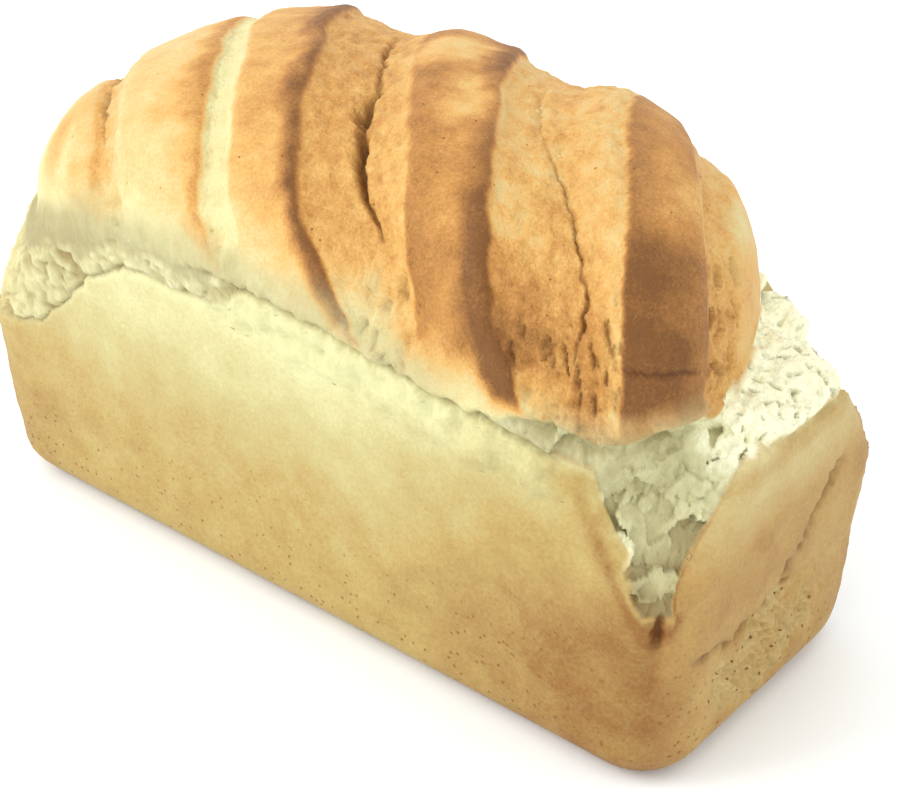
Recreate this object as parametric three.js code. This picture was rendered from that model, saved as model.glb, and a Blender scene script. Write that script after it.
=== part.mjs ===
// A white tin loaf, about 800 g: flat base, walls shaped by the tin, a domed top crust that was
// slashed on the diagonal and opened into overlapping lobes, and corners where the crust tore.
// Millimetres, +Z up, origin at the middle of the base. +X runs along the loaf.

import * as THREE from 'three';
import { mergeVertices } from 'three/addons/utils/BufferGeometryUtils.js';

// ---- Driving sizes ----
const LENGTH = 271;              // walls, outside, at the height of the tin's rim
const WIDTH = 112;
const WALL_HEIGHT = 108;         // where the long walls roll over, at mid-length
const TOP_HEIGHT = 162;          // highest point of the top crust
const CRUST_HALF_WIDTH = 64;     // the top crust overhangs the walls a little
const CRUST_REACH = { left: 121, right: 116 };   // from the middle to the crust's two ends

// ---- Walls ----
const TIN_LEAN = 5;              // each wall leans in by this much from rim to base
const LEAN_POWER = 1.7;          // most of the lean is near the base
const CORNER_RADIUS = 18;        // upright corners
const BASE_RADIUS = 12;          // edge between walls and base
const RIM_RADIUS = 11;           // where the walls roll over at the top
const WALL_SWELL = 3.5;          // long walls swell outwards just below the crust
const SWELL_FROM = 55;           // height where that swelling starts
const CORNER_FALL = {            // the torn corners sink
  front: { drop: 50, alongX: 40 },
  back: { drop: 44, alongX: 52 },
  alongY: 35,
};
const END_FALL = { drop: 6, from: 95, over: 40 };          // the end walls are a little lower

// ---- Top crust ----
const FOOT = {                   // line where the crust lifts off
  z: 118, peakX: -25, fallLeft: 26, leftPower: 2, fallRight: 19, rightPower: 1.7,
};
const FOOT_TUCK = 28;            // the crust curls in below its foot over this height
const PROFILE_POWER = { left: 2.05, right: 3.3 };  // side view
const PLAN_POWER = { left: 3.3, right: 3 };        // top view
const END_SKEW = { amount: 0.35, from: 20, full: 100 };  // the right end is cut on the diagonal
const SECTION_POWER = 2.4;       // end view
const BLEND = 6;                 // softness of the join between crust and walls

// ---- Slashes ----
// A slash runs where x + SLASH_SLOPE * y is constant. Each line of it lies at `at` on the front
// shoulder, veers right down the front by `veer` per millimetre under the height `below`, and has
// moved right by `crest` at the crest. lip: browned edge of the lobe on the left. valley: deepest
// line. edge: start of the next lobe.
const SLASH_SLOPE = 0.8;
const BACK_BEND = 0.25;          // towards the back the slashes bend across the loaf
const BEND_FROM = 5;
const SLASHES = [
  {
    lip: { at: -114, veer: 0.5, below: 128, crest: 0 },
    valley: { at: -110, veer: 0.5, below: 128, crest: 0 },
    edge: -101, depth: 5, bends: true,
  },
  {
    lip: { at: -69, veer: 0.62, below: 134, crest: 2.5 },
    valley: { at: -64, veer: 0.5, below: 134, crest: 0 },
    edge: -56.5, depth: 4.5, bends: true,
  },
  {
    lip: { at: -32.5, veer: 0.87, below: 141, crest: 4.5 },
    valley: { at: -12, veer: 0.6, below: 150, crest: 8 },
    edge: 4.3, depth: 6.5, bends: true,
  },
  {
    lip: { at: 30.5, veer: 0.58, below: 133, crest: 5.5 },
    valley: { at: 57, veer: 0, below: 0, crest: -3 },
    edge: 73, depth: 7, bends: true,
  },
  {
    lip: { at: 101, veer: 0, below: 0, crest: 0 },
    valley: { at: 106, veer: 0, below: 0, crest: 0 },
    edge: 114, depth: 4, bends: false,
  },
];
const VALLEY_MARGIN = { left: 12, right: 2 };    // a valley starts this far before its lip
const CREST_SHALLOWER = 0.25;
const LIP = { rise: 1.2, width: 5, inset: 3 };
const BREAK = { depth: 2.5, width: 5 };   // groove along the crust's foot
const UNEVEN = 0.9;              // hand-made unevenness of the whole surface

// ---- Mesh ----
const CELLS = { x: 48, y: 18, z: 20 };
const AXIS_HEIGHT = 73;          // the surface is found along rays from a line at this height
const AXIS_HALF_LENGTH = 85;
const STRIDE = 0.04;             // first looks along a ray in steps of this share of its length
const BISECTIONS = 20;

const clamp = THREE.MathUtils.clamp;
const smoothstep = THREE.MathUtils.smoothstep;

/** Joins two signed distances with a soft fillet. */
function softUnion(a, b, softness) {
  const t = clamp(0.5 + (0.5 * (b - a)) / softness, 0, 1);
  return THREE.MathUtils.lerp(b, a, t) - softness * t * (1 - t);
}

/** Signed distance to a corner rounded by radius, where a and b are distances past two faces. */
function roundedCorner(a, b, radius) {
  const u = a + radius;
  const v = b + radius;
  return Math.hypot(Math.max(u, 0), Math.max(v, 0)) + Math.min(Math.max(u, v), 0) - radius;
}

/** Height of the line where the top crust lifts off the walls. */
function footHeight(x) {
  const left = clamp((FOOT.peakX - x) / (CRUST_REACH.left + FOOT.peakX), 0, 1);
  const right = clamp((x - FOOT.peakX) / (CRUST_REACH.right - FOOT.peakX), 0, 1);
  return FOOT.z - FOOT.fallLeft * left ** FOOT.leftPower - FOOT.fallRight * right ** FOOT.rightPower;
}

/** Distance outside the block that the tin shaped. */
function tinForm(x, y, z) {
  const lean = TIN_LEAN * clamp(1 - z / WALL_HEIGHT, 0, 1) ** LEAN_POWER;
  const midLength = 1 - smoothstep(Math.abs(x), 70, 120);
  const swell = WALL_SWELL * smoothstep(z, SWELL_FROM, WALL_HEIGHT) * midLength;
  const pastX = Math.abs(x) - (LENGTH / 2 - lean);
  const pastY = Math.abs(y) - (WIDTH / 2 - lean + swell);
  const pastWalls = roundedCorner(pastX, pastY, CORNER_RADIUS);
  const { drop, alongX } = y < 0 ? CORNER_FALL.front : CORNER_FALL.back;
  const { alongY } = CORNER_FALL;
  const cornerX = clamp((Math.abs(x) - LENGTH / 2 + alongX) / alongX, 0, 1.3);
  const cornerY = clamp((Math.abs(y) - WIDTH / 2 + alongY) / alongY, 0, 1.3);
  const towardsEnd = clamp((Math.abs(x) - END_FALL.from) / END_FALL.over, 0, 1);
  const rim = WALL_HEIGHT - drop * cornerX * cornerY - END_FALL.drop * towardsEnd ** 2;
  return Math.max(
    roundedCorner(pastWalls, -z, BASE_RADIUS),
    roundedCorner(pastWalls, z - rim, RIM_RADIUS),
  );
}

/** Distance outside the domed top crust, as if it had never been slashed. */
function crustForm(x, y, z) {
  const side = x < 0 ? 'left' : 'right';
  const reach = CRUST_REACH[side];
  const plan = PLAN_POWER[side];
  const profile = PROFILE_POWER[side];
  const skewed = x + END_SKEW.amount * smoothstep(x, END_SKEW.from, END_SKEW.full) * y;
  const along = Math.min(Math.abs(skewed) / reach, 0.999);
  const foot = footHeight(x);
  const halfWidth = CRUST_HALF_WIDTH * (1 - along ** plan) ** (1 / plan);
  const rise = (TOP_HEIGHT - foot) * (1 - along ** profile) ** (1 / profile);
  const across = Math.abs(y) / halfWidth;
  const up = z > foot ? (z - foot) / rise : (foot - z) / FOOT_TUCK;
  const section = (across ** SECTION_POWER + up ** SECTION_POWER) ** (1 / SECTION_POWER);
  const fromSection = (section - 1) * Math.min(halfWidth, rise);
  return Math.max(fromSection, Math.abs(skewed) - reach);
}

function loafForm(x, y, z) {
  return softUnion(tinForm(x, y, z), crustForm(x, y, z), BLEND);
}

/** About 0 for values below 0 and the value itself above. */
function softRamp(value) {
  return (value + Math.hypot(value, 4)) / 2;
}

/** Distance across the slashes from one line of a slash, positive to its right. */
function fromLine(line, bends, x, y, z) {
  const bend = bends ? BACK_BEND * Math.max(y - BEND_FROM, 0) : 0;
  const down = smoothstep(-y, 0, 20) * softRamp(line.below - z);
  const place = line.at + line.veer * down + line.crest * smoothstep(y, -45, 5);
  return x + SLASH_SLOPE * y - bend - place;
}

/** How far the slashes move the surface: lobes stand, strips between them sink to a valley. */
function slashRelief(x, y, z) {
  const shallower = 1 - CREST_SHALLOWER * smoothstep(y, -45, 5);
  let relief = 0;
  for (const { lip, valley, edge, depth, bends } of SLASHES) {
    const place = fromLine(valley, bends, x, y, z);
    const leftRun = valley.at - lip.at + VALLEY_MARGIN.left;
    const rightRun = edge - valley.at + VALLEY_MARGIN.right;
    const sunk = place < 0
      ? 1 - smoothstep(-place, 0, leftRun)
      : 1 - smoothstep(place, 0, rightRun);
    const fromLip = fromLine(lip, bends, x, y, z);
    const ridge = Math.exp(-(((fromLip + LIP.inset) / LIP.width) ** 2));
    relief += LIP.rise * ridge - depth * shallower * sunk;
  }
  const aboveFoot = smoothstep(z, footHeight(x) - 4, footHeight(x) + 24);
  return relief * aboveFoot;
}

/** Groove where the crust broke away from the long walls. */
function breakRelief(x, y, z) {
  const onSide = smoothstep(Math.abs(y), 36, 50) * (1 - smoothstep(x, 80, 105));
  const below = z - (footHeight(x) - 7);
  return -BREAK.depth * onSide * Math.exp(-((below / BREAK.width) ** 2));
}

/** Slow waves that keep the surface from being regular. */
function unevenness(x, y, z) {
  return UNEVEN * (
    0.5 * Math.sin(x / 17 + 1.3) * Math.cos(z / 23 + 0.4)
    + 0.3 * Math.sin(y / 13 + 2.1) * Math.sin(x / 31 + z / 19)
    + 0.2 * Math.cos((x + 2 * z) / 11) * Math.sin(y / 9 + 0.7)
  );
}

/** Moves a point of the unit box (each coordinate from -1 to 1) onto the loaf. */
function placeOnLoaf(point) {
  const { x: u, y: v, z: w } = point;
  const y = v * WIDTH / 2;
  const z = w < 0 ? AXIS_HEIGHT * (1 + w) : AXIS_HEIGHT + w * (TOP_HEIGHT - AXIS_HEIGHT);
  const shear = SLASH_SLOPE * y * (1 - u * u);
  const target = new THREE.Vector3(u * LENGTH / 2 - shear, y, z);
  const axisX = clamp(0.9 * target.x, -AXIS_HALF_LENGTH, AXIS_HALF_LENGTH);
  const axis = new THREE.Vector3(axisX, 0, AXIS_HEIGHT);
  const isInside = (share) => {
    point.lerpVectors(axis, target, share);
    return loafForm(point.x, point.y, point.z) < 0;
  };
  let inside = 0;
  while (isInside(inside + STRIDE)) inside += STRIDE;
  let outside = inside + STRIDE;
  for (let i = 0; i < BISECTIONS; i += 1) {
    const middle = (inside + outside) / 2;
    if (isInside(middle)) inside = middle;
    else outside = middle;
  }
  point.lerpVectors(axis, target, inside);
  const awayFromBase = smoothstep(point.z, 0, 2 * BASE_RADIUS);
  const push = slashRelief(point.x, point.y, point.z)
    + breakRelief(point.x, point.y, point.z)
    + unevenness(point.x, point.y, point.z) * awayFromBase;
  point.addScaledVector(target.sub(axis).normalize(), push);
  if (point.z < 0.02) point.z = 0;
  return point;
}

/** Splits each four-sided cell along its shorter diagonal. */
function chooseDiagonals(geometry) {
  const positions = geometry.attributes.position;
  const index = geometry.index;
  const corner = (i) => new THREE.Vector3().fromBufferAttribute(positions, i);
  for (let i = 0; i < index.count; i += 6) {
    const [a, b, d, , c] = [0, 1, 2, 3, 4].map((step) => index.getX(i + step));
    if (corner(a).distanceTo(corner(c)) < corner(b).distanceTo(corner(d))) {
      [a, b, c, a, c, d].forEach((vertex, step) => index.setX(i + step, vertex));
    }
  }
}

/** A finely divided box, closed all round, with every vertex moved onto the loaf. */
function makeLoafGeometry() {
  const box = new THREE.BoxGeometry(2, 2, 2, CELLS.x, CELLS.y, CELLS.z);
  box.deleteAttribute('normal');
  box.deleteAttribute('uv');
  const geometry = mergeVertices(box, 1e-4);
  const positions = geometry.attributes.position;
  const point = new THREE.Vector3();
  for (let i = 0; i < positions.count; i += 1) {
    placeOnLoaf(point.fromBufferAttribute(positions, i));
    positions.setXYZ(i, point.x, point.y, point.z);
  }
  chooseDiagonals(geometry);
  geometry.computeVertexNormals();
  return geometry;
}

const crustMaterial = new THREE.MeshStandardMaterial({
  color: 0xdcb57c,
  roughness: 0.7,
  metalness: 0,
});

const loaf = new THREE.Mesh(makeLoafGeometry(), crustMaterial);
loaf.name = 'loaf';

const part = new THREE.Group();
part.add(loaf);

export default part;
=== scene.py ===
"""A white tin loaf, slashed on the diagonal, with its baked crust and a plain pale studio.

The loaf's surface starts as a finely divided cube whose vertices are moved onto the loaf's form.
Slashes, cracks, torn crumb and wrinkles are then raised or sunk along the surface, and the same
places steer how brown each part of the crust is. Shape sizes are in millimetres, like a baker's
ruler; they are turned into metres when the mesh is finished.
"""

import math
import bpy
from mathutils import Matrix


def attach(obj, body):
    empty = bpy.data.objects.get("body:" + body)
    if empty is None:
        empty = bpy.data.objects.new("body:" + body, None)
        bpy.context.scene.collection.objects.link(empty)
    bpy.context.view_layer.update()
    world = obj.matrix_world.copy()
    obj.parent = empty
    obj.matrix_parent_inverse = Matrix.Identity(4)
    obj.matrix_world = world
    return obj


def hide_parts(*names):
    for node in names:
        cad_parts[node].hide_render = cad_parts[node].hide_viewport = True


bl_info = {
    "name": "Tin Loaf",
    "version": (1, 0, 0),
    "blender": (4, 5, 0),
    "location": "3D View > Sidebar > Loaf",
    "description": "Models a slashed white tin loaf and a plain pale studio around it",
    "category": "Add Mesh",
}

from types import SimpleNamespace

import bmesh
import bpy
import numpy as np
from bpy.props import FloatProperty, FloatVectorProperty, PointerProperty
from bpy.types import Operator, Panel, PropertyGroup
from mathutils import Vector, noise

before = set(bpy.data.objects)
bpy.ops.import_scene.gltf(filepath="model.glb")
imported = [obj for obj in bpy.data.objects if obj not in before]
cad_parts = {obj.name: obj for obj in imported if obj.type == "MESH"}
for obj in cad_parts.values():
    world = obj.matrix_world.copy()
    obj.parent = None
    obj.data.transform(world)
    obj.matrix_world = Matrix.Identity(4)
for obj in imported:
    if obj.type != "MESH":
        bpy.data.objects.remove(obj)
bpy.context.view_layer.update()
MM = 0.001

# ---- Form of the loaf, in mm ----
TIN_LEAN = 5.0
CORNER_RADIUS = 18.0
CORNER_INSET = 0.293  # of the radius: how far the rounded corner lies inside the sharp one
BASE_RADIUS = 12.0
RIM_RADIUS = 11.0
WALL_SWELL = 3.5
SWELL_FROM = 55.0
CORNER_FALL = SimpleNamespace(
    front=SimpleNamespace(drop=50.0, along_x=40.0), back=SimpleNamespace(drop=44.0, along_x=52.0),
    along_y=35.0,
)
END_FALL = SimpleNamespace(drop=6.0, start=95.0, over=40.0)
FOOT = SimpleNamespace(z=118.0, peak_x=-25.0, fall_left=26.0, fall_right=19.0)
FOOT_TUCK = 28.0
REACH = SimpleNamespace(left=121.0, right=116.0)
PLAN_POWER = SimpleNamespace(left=3.3, right=3.0)
PROFILE_POWER = SimpleNamespace(left=2.05, right=3.3)
END_SKEW = SimpleNamespace(amount=0.35, start=20.0, full=100.0)
SECTION_POWER = 2.4
BLEND = 6.0
UNEVEN = 0.9
V_TIP = 61.0  # lowest height that the tears at the right corners reach
# Distances past the corner, and the height of the tear's edge there
LONG_WALL_V = (0.6, 5, 8.7, 13.6, 18, 22), (60, 71, 77, 84, 91, 99)
END_WALL_V = (0, 0.5, 1.5, 4), (60, 66, 80, 99)

# ---- Slashes: each runs where x + SLASH_SLOPE * y is constant ----
SLASH_SLOPE = 0.8
BACK_BEND = 0.25
BEND_FROM = 5.0
ACROSS = math.hypot(1.0, SLASH_SLOPE)  # turns a step in x + SLASH_SLOPE * y into a distance
ALONG_TILT = 0.6


def line(at, veer=0.0, below=0.0, crest=0.0, bend=BACK_BEND):
    """A line along a slash. It lies at `at` on the front shoulder, veers right down the front by
    `veer` for each mm below the height `below`, and has moved right by `crest` at the crest."""
    return SimpleNamespace(at=at, veer=veer, below=below, crest=crest, bend=bend)


def slash(lip, valley, edge, fissure, depth, gape, step):
    """lip: edge of the lobe on the left. valley: lowest line, depth deep. edge: start of the next
    lobe. fissure: line of the crack, whose gape is its width and depth. step: height of the lip."""
    gape = SimpleNamespace(width=gape[0], depth=gape[1])
    return SimpleNamespace(
        lip=lip, valley=valley, edge=edge, fissure=fissure, depth=depth, gape=gape, step=step
    )


SLASHES = (
    slash(
        lip=line(-114, 0.5, 128), valley=line(-110, 0.5, 128), edge=line(-101, 0.35, 128, 2),
        fissure=line(-111, 0.5, 128), depth=4.5, gape=(0.8, 1.8), step=0.4,
    ),
    slash(
        lip=line(-69, 0.62, 134, 2.5), valley=line(-64, 0.5, 134), edge=line(-56.5, 0.35, 138),
        fissure=line(-67.5, 0.62, 134, 2.5), depth=3.0, gape=(0.6, 0.6), step=0.3,
    ),
    slash(
        lip=line(-32.5, 0.87, 141, 4.5), valley=line(-12, 0.6, 150, 8), edge=line(4.3),
        fissure=line(-15, 0.7, 155, 9), depth=6.5, gape=(1.6, 6.0), step=0.6,
    ),
    slash(
        lip=line(30.5, 0.58, 133, 5.5), valley=line(57, 0, 0, -3), edge=line(73, 0, 0, 3),
        fissure=line(60, -0.6, 137, -11), depth=7.0, gape=(0.6, 1.6), step=0.8,
    ),
    slash(
        lip=line(101, bend=0), valley=line(106, bend=0), edge=line(114, bend=0),
        fissure=line(103, bend=0), depth=4.0, gape=(0.6, 0.4), step=0.6,
    ),
)
CREST_SHALLOWER = 0.25
LIP_RISE = 1.2
LIP_WIDTH = 5.0

# ---- Torn crumb, in mm ----
PUFF = 7.0
SMALL_PUFF = 3.4
PLATE = 9.0
SMALL_PLATE = 4.0
PLATE_SEED = 1795170085
DEEPEST_PIT = SimpleNamespace(centre=(-81, -59, 97), radius=(5, 8, 2.6))
BACK_FLAKE = SimpleNamespace(centre=(100, 50, 98), radius=(14, 9, 12), height=4.0)

# ---- Mesh ----
CELLS = (100, 42, 60)
GRID_SHEAR = 0.5
AXIS_HEIGHT = 73.0
AXIS_HALF_LENGTH = 85.0
STRIDE = 0.04  # first looks for the surface along a ray in steps of this share of its length
STRIDES = 36
BISECTIONS = 16


def paint(red, green, blue):
    """A linear colour from the eight-bit values of a paint chart."""
    return tuple(((c / 255 + 0.055) / 1.055) ** 2.4 for c in (red, green, blue))


# ---- Studio ----
# The floor and the lamp are in metres, the camera in mm and degrees.
FLOOR_HALF = 4.0
LAMP = SimpleNamespace(place=(-0.85, -1.15, 1.15), aim=(0, 0, 0.07), width=1.0)
CAMERA = SimpleNamespace(
    azimuth=39.6, elevation=32.1, distance=594, target=(18.0, 0.0, 57.7), lens=80.0, sensor=36.0
)


# ---- What a user may change ----
def length_property(name, description, default, low, high):
    return FloatProperty(
        name=name, description=description, default=default, min=low, max=high, unit="LENGTH",
    )


class LoafSizes(PropertyGroup):
    """Outside sizes of the loaf."""

    wall_length: length_property(
        "Wall Length", "Length over the two end walls at the tin's rim", 0.271, 0.2, 0.32,
    )
    wall_width: length_property(
        "Wall Width", "Width over the two long walls at the tin's rim", 0.112, 0.08, 0.14,
    )
    wall_height: length_property(
        "Wall Height", "Height at which the long walls roll over", 0.108, 0.07, 0.13,
    )
    top_height: length_property(
        "Top Height", "Height of the top crust above the base", 0.162, 0.12, 0.2,
    )
    crust_width: length_property(
        "Crust Width", "Width of the top crust at its foot", 0.128, 0.1, 0.15,
    )


def colour_property(name, description, colour):
    return FloatVectorProperty(
        name=name, description=description, default=colour, min=0, max=1, subtype="COLOR",
    )


class LoafColours(PropertyGroup):
    """Colours of the crust, from hardly baked to darkest, of the torn crumb, and of the painted
    shade in the crumb's pits and hollows and in the cracks.
    """

    cream: colour_property("Cream", "Palest crust", paint(210, 202, 148))
    straw: colour_property("Straw", "Lightly baked crust", paint(207, 183, 124))
    gold: colour_property("Gold", "Golden crust", paint(208, 162, 90))
    amber: colour_property("Amber", "Well baked crust", paint(183, 129, 64))
    chestnut: colour_property("Chestnut", "Dark crust", paint(150, 101, 46))
    umber: colour_property("Umber", "Darkest edges of the lobes", paint(117, 74, 31))
    wall_cream: colour_property("Wall Cream", "Palest part of the walls", paint(212, 208, 156))
    wall_straw: colour_property("Wall Straw", "Pale part of the walls", paint(192, 180, 124))
    wall_tan: colour_property("Wall Tan", "Middle tone of the walls", paint(178, 151, 89))
    wall_brown: colour_property("Wall Brown", "Darkest part of the walls", paint(141, 97, 43))
    end_tint: colour_property("End Tint", "Warm tint of the end walls", paint(255, 243, 240))
    # Darkest crumb: painted shade in the pits, also reached by the browner crumb at the left.
    pit_shade: colour_property("Pit Shade", "Pits of the torn crumb", paint(128, 106, 64))
    crumb_shade: colour_property("Crumb Shade", "Hollows of the torn crumb", paint(176, 168, 124))
    crumb: colour_property("Crumb", "Torn crumb", paint(200, 196, 152))
    crumb_light: colour_property("Crumb Light", "Whitest torn crumb", paint(250, 249, 214))
    # Painted shade: the dark brown laid deep inside cracks, slits and creases.
    crack_shade: colour_property("Crack Shade", "Deep inside the cracks and slits", paint(92, 52, 24))


class StudioLook(PropertyGroup):
    """Floor and light of the studio."""

    floor_colour: colour_property("Floor", "Colour of the floor", (0.95, 0.985, 0.99))
    ambient: FloatProperty(
        name="Ambient", description="Strength of the even white light", default=1.26, min=0, max=3,
    )
    key_power: FloatProperty(
        name="Key Light", description="Power of the large soft light", default=14.0, min=0,
        max=200, unit="POWER",
    )


# ---- Small mathematical tools ----
def smoothstep(values, low, high):
    """0 below low, 1 above high, and smooth between them."""
    t = np.clip((values - low) / (high - low), 0, 1)
    return t * t * (3 - 2 * t)


def falling(values, start, end):
    """1 below the first value, 0 above the second, and smooth between them."""
    return 1 - smoothstep(values, start, end)


def plateau(values, rise, fall):
    """0, then 1 past the rise, and 0 again past the fall, each a pair from start to end."""
    return smoothstep(values, *rise) * falling(values, *fall)


def bump(values, centre, width):
    """A smooth hump of height 1."""
    return np.exp(-(((values - centre) / width) ** 2))


def soft_ramp(values, softness=4.0):
    """About 0 for values below 0 and the value itself above."""
    return (values + np.hypot(values, softness)) / 2


def rough(points, size, octaves=3, shift=0.0):
    """Fractal noise, about -1 to 1; size in mm is that of its largest lumps."""
    places = (points / size + shift).tolist()
    return np.array([noise.fractal(place, 1.0, 2.0, octaves) for place in places])


def nearest_seed(points, size, shift=0.0):
    """Distance to the nearest of points scattered about a size apart, as a share of it."""
    places = (points / size + shift).tolist()
    return np.array([noise.voronoi(place)[0][0] for place in places])


def puffs(points, size, shift=0.0):
    """Round lumps, 1 on their tops and 0 in the creases between them."""
    return np.sqrt(np.clip(1 - (nearest_seed(points, size, shift) / 0.75) ** 2, 0, 1))


def from_centre(points, place):
    """Distance from the centre of a place, 1 at its radius along each axis."""
    return np.linalg.norm((points - place.centre) / place.radius, axis=1)


def rounded_corner(a, b, radius):
    u = a + radius
    v = b + radius
    outside = np.hypot(np.maximum(u, 0), np.maximum(v, 0))
    return outside + np.minimum(np.maximum(u, v), 0) - radius


def sided(x, pair):
    return np.where(x < 0, pair.left, pair.right)


# ---- Form of the loaf before slashes and cracks ----
def read_sizes(scene):
    """The user's sizes, in mm."""
    sizes = scene.loaf_sizes
    return SimpleNamespace(
        length=sizes.wall_length / MM,
        width=sizes.wall_width / MM,
        wall=sizes.wall_height / MM,
        top=sizes.top_height / MM,
        crust=sizes.crust_width / MM / 2,
    )


def foot_height(x):
    """Height of the line where the top crust lifts off the walls."""
    left = np.clip((FOOT.peak_x - x) / (REACH.left + FOOT.peak_x), 0, 1)
    right = np.clip((x - FOOT.peak_x) / (REACH.right - FOOT.peak_x), 0, 1)
    return FOOT.z - FOOT.fall_left * left**2 - FOOT.fall_right * right**1.7


def lean(z, sizes):
    """How far each wall has drawn in at a height, as the tin tapers."""
    return TIN_LEAN * np.clip(1 - z / sizes.wall, 0, 1) ** 1.7


def tin_form(points, sizes):
    """Distance outside the block that the tin shaped."""
    x, y, z = points.T
    drawn_in = lean(z, sizes)
    mid_length = falling(np.abs(x), 70, 120)
    swell = WALL_SWELL * smoothstep(z, SWELL_FROM, sizes.wall) * mid_length
    past_x = np.abs(x) - (sizes.length / 2 - drawn_in)
    past_y = np.abs(y) - (sizes.width / 2 - drawn_in + swell)
    past_walls = rounded_corner(past_x, past_y, CORNER_RADIUS)
    front = y < 0
    along_x = np.where(front, CORNER_FALL.front.along_x, CORNER_FALL.back.along_x)
    along_y = CORNER_FALL.along_y
    corner_x = np.clip((np.abs(x) - sizes.length / 2 + along_x) / along_x, 0, 1.3)
    corner_y = np.clip((np.abs(y) - sizes.width / 2 + along_y) / along_y, 0, 1.3)
    towards_end = np.clip((np.abs(x) - END_FALL.start) / END_FALL.over, 0, 1)
    drop = np.where(front, CORNER_FALL.front.drop, CORNER_FALL.back.drop)
    rim = sizes.wall - drop * corner_x * corner_y - END_FALL.drop * towards_end**2
    return np.maximum(
        rounded_corner(past_walls, -z, BASE_RADIUS),
        rounded_corner(past_walls, z - rim, RIM_RADIUS),
    )


def crust_form(points, sizes):
    """Distance outside the domed top crust, as if it had never been slashed."""
    x, y, z = points.T
    skew = END_SKEW.amount * smoothstep(x, END_SKEW.start, END_SKEW.full)
    skewed = x + skew * y
    reach = sided(x, REACH)
    plan = sided(x, PLAN_POWER)
    profile = sided(x, PROFILE_POWER)
    along = np.minimum(np.abs(skewed) / reach, 0.999)
    foot = foot_height(x)
    half_width = sizes.crust * (1 - along**plan) ** (1 / plan)
    rise = (sizes.top - foot) * (1 - along**profile) ** (1 / profile)
    across = np.abs(y) / half_width
    up = np.where(z > foot, (z - foot) / rise, (foot - z) / FOOT_TUCK)
    section = (across**SECTION_POWER + up**SECTION_POWER) ** (1 / SECTION_POWER)
    return np.maximum((section - 1) * np.minimum(half_width, rise), np.abs(skewed) - reach)


def blend_share(tin, crust):
    """1 where the tin-shaped block makes the surface, 0 where the top crust does."""
    return np.clip(0.5 + 0.5 * (crust - tin) / BLEND, 0, 1)


def loaf_form(points, sizes):
    tin = tin_form(points, sizes)
    crust = crust_form(points, sizes)
    t = blend_share(tin, crust)
    return crust + (tin - crust) * t - BLEND * t * (1 - t)


def unevenness(points):
    """Slow waves that keep the surface from being regular."""
    x, y, z = points.T
    return UNEVEN * (
        0.5 * np.sin(x / 17 + 1.3) * np.cos(z / 23 + 0.4)
        + 0.3 * np.sin(y / 13 + 2.1) * np.sin(x / 31 + z / 19)
        + 0.2 * np.cos((x + 2 * z) / 11) * np.sin(y / 9 + 0.7)
    )


def place_on_loaf(cube_points, sizes):
    """Moves points of a cube from -1 to 1 onto the unslashed loaf. Returns points and rays."""
    u, v, w = cube_points.T
    y = v * sizes.width / 2
    z = np.where(w < 0, AXIS_HEIGHT * (1 + w), AXIS_HEIGHT + w * (sizes.top - AXIS_HEIGHT))
    x = u * sizes.length / 2 - GRID_SHEAR * y * (1 - u * u)
    target = np.column_stack((x, y, z))
    axis_x = np.clip(0.9 * x, -AXIS_HALF_LENGTH, AXIS_HALF_LENGTH)
    axis = np.column_stack((axis_x, np.zeros_like(x), np.full_like(x, AXIS_HEIGHT)))
    ray = target - axis
    inside = np.zeros_like(x)
    reached = np.ones(len(x), bool)
    for step in range(1, STRIDES):
        reached &= loaf_form(axis + ray * step * STRIDE, sizes) < 0
        inside = np.where(reached, step * STRIDE, inside)
    outside = inside + STRIDE
    for _ in range(BISECTIONS):
        middle = (inside + outside) / 2
        within = loaf_form(axis + ray * middle[:, None], sizes) < 0
        inside = np.where(within, middle, inside)
        outside = np.where(within, outside, middle)
    points = axis + ray * inside[:, None]
    return points, ray / np.linalg.norm(ray, axis=1)[:, None]


# ---- Where things are on the loaf ----
def corner_place(points, sizes):
    """Where a point is at its nearest corner of the tin, in mm: past the corner along the wall,
    inward from the wall's face, from the long wall, and off the corner's ridge to the front."""
    x, y, z = points.T
    drawn_in = lean(z, sizes)
    from_end = np.maximum(sizes.length / 2 - drawn_in - np.abs(x), 0)
    from_side = np.maximum(sizes.width / 2 - drawn_in - np.abs(y), 0)
    inset = CORNER_INSET * CORNER_RADIUS
    inward = np.minimum(from_end, from_side)
    past = np.maximum(from_end, from_side) + np.minimum(inward, inset) - 2 * inset
    return SimpleNamespace(
        past=np.maximum(past, 0), inward=inward, from_side=from_side,
        on_front=from_end > from_side, off_ridge=(from_end - from_side) / math.sqrt(2),
    )


def wall_top(points, corner):
    """Height where the tin-baked wall ends: a V at the right corners, a broad sag at the left."""
    x, y, _ = points.T
    on_long_wall = np.interp(corner.past, *LONG_WALL_V)
    on_end_wall = np.interp(corner.past, *END_WALL_V)
    right = foot_height(REACH.right) - np.where(corner.on_front, on_long_wall, on_end_wall)
    shelf = 40 * smoothstep(corner.inward, 3.5, 7)
    on_end = smoothstep(corner.from_side, 8, 36)
    sag = 13 * smoothstep(-x, -5, 20) + 22 * smoothstep(-x, 55, 105)
    left = sag * (1 - 0.8 * on_end) * np.where(y > 0, 0.75, 1.0)
    return np.maximum(foot_height(x) - 1 - np.where(x > 0, right, left) - shelf, V_TIP)


def line_place(skin, ruled):
    """Where a line is, measured like the lip of a slash, at each point's height and side."""
    down = skin.front * soft_ramp(ruled.below - skin.z)
    bend = (ruled.bend - BACK_BEND) * np.maximum(skin.y - BEND_FROM, 0)
    return ruled.at + ruled.veer * down + ruled.crest * skin.crest + bend


def from_line(skin, ruled):
    """Distance in mm from a line, positive to its right."""
    return (skin.across + skin.wobble - line_place(skin, ruled)) / ACROSS


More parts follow.
